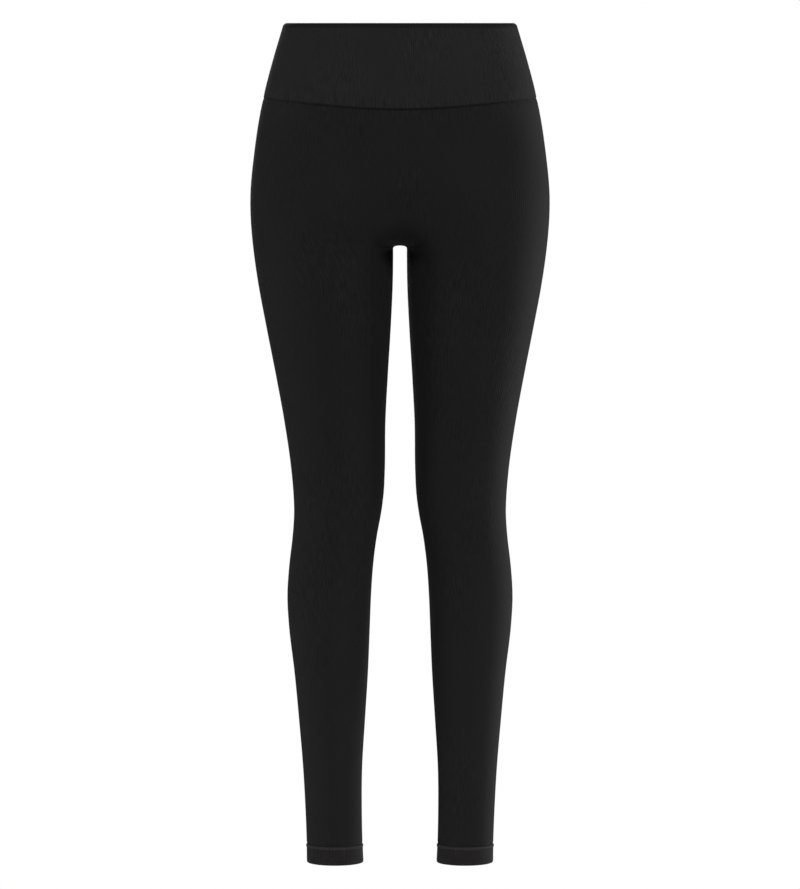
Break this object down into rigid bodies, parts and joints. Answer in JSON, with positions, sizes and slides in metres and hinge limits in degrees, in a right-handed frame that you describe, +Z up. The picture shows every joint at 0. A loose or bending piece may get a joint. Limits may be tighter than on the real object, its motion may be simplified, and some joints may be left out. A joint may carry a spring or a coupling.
{
  "type": "leggings",
  "caption": "High-waisted black rib-knit leggings, filled out and hollow, with a wide double waistband with a rolled top edge and short turned ankle cuffs.",
  "frame": {"origin": "middle of the waist, inside the waistband and half-way up it, 45 mm below its top edge", "axes": "+Z up from the ankles to the waist, -Y to the garment's front, +X to the wearer's left"},
  "size_m": [0.3476, 0.2191, 0.979],
  "materials": {
    "waistband_knit": "matt black double rib knit",
    "leg_knit": "matt black fine rib knit",
    "cuff_knit": "matt black turned rib knit"
  },
  "bodies": {
    "root": {"waistband": "waistband_knit", "left_leg": "leg_knit", "right_leg": "leg_knit", "left_cuff": "cuff_knit", "right_cuff": "cuff_knit"}
  },
  "joints": []
}
